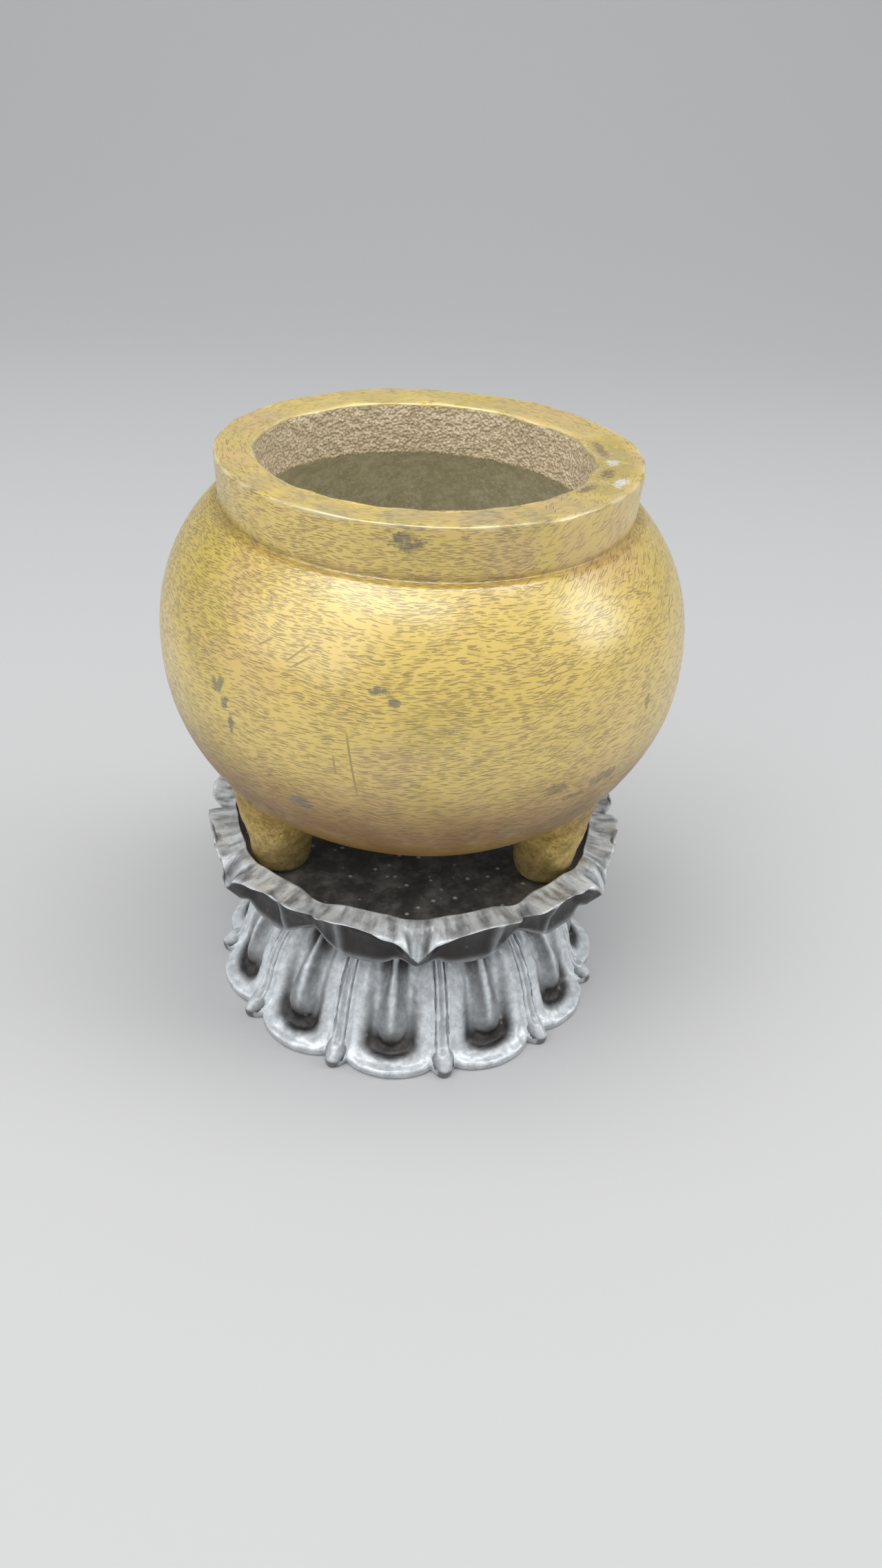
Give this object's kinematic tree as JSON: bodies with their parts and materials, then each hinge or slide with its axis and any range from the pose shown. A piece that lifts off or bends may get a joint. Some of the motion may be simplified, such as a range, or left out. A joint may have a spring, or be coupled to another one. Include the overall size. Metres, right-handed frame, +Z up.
{
  "type": "incense burner",
  "caption": "Cast bronze tripod incense burner with a globular belly, thick collar and wide mouth, standing loose in the dish of a carved dark wood lotus stand.",
  "frame": {"origin": "on the surface that the stand rests on, under the common axis of the stand and the burner", "axes": "+Z up along the common axis, -Y towards the front with two of the legs, +X to the right seen from the front"},
  "size_m": [0.13, 0.13, 0.1509],
  "materials": {
    "bowl_bronze": "satin cast bronze, chased all over with short tool strokes",
    "leg_bronze": "mottled satin cast bronze",
    "stand_wood": "black-brown hardwood, carved and waxed, worn along its edges",
    "dowel_wood": "plain sawn hardwood"
  },
  "bodies": {
    "stand": {"lotus_base": "stand_wood", "lotus_dish": "stand_wood", "stand_dowel": "dowel_wood"},
    "burner": {"burner_bowl": "bowl_bronze", "leg_back": "leg_bronze", "leg_front_left": "leg_bronze", "leg_front_right": "leg_bronze"}
  },
  "joints": [
    {"name": "burner_lift", "type": "slide", "parent": "stand", "child": "burner", "axis": [0, 0, 1], "range_m": [0, 0.06]}
  ]
}
